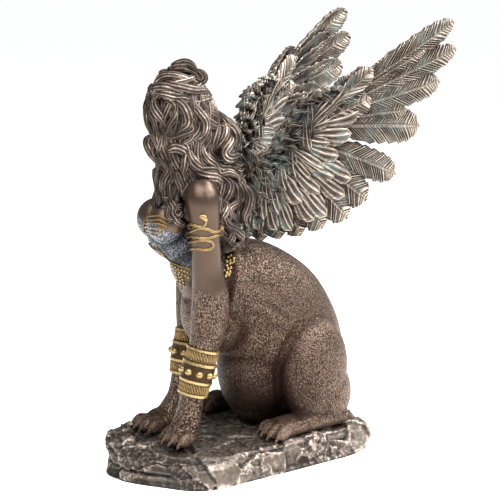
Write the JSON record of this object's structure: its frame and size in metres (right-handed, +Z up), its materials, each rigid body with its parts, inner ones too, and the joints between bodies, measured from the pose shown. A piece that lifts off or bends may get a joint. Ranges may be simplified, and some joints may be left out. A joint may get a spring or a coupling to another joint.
{
  "type": "seated sphinx statuette",
  "caption": "Statuette of a seated winged sphinx, a woman's head and chest on a lion's body, on a rock base, for display on a flat surface.",
  "frame": {"origin": "centre of the rock's flat underside", "axes": "+Z up, the figure faces -Y, +X is the figure's left side"},
  "size_m": [0.1075, 0.2149, 0.2634],
  "materials": {
    "figure_bronze": "cold-cast bronze resin, dark brown antique patina with rubbed highlights and gilt ornaments",
    "wing_bronze": "cold-cast bronze resin, grey-brown antique patina with a little blue-green in the hollows"
  },
  "bodies": {
    "root": {"sphinx_on_rock": "figure_bronze", "left_wing": "wing_bronze", "right_wing": "wing_bronze"}
  },
  "joints": []
}
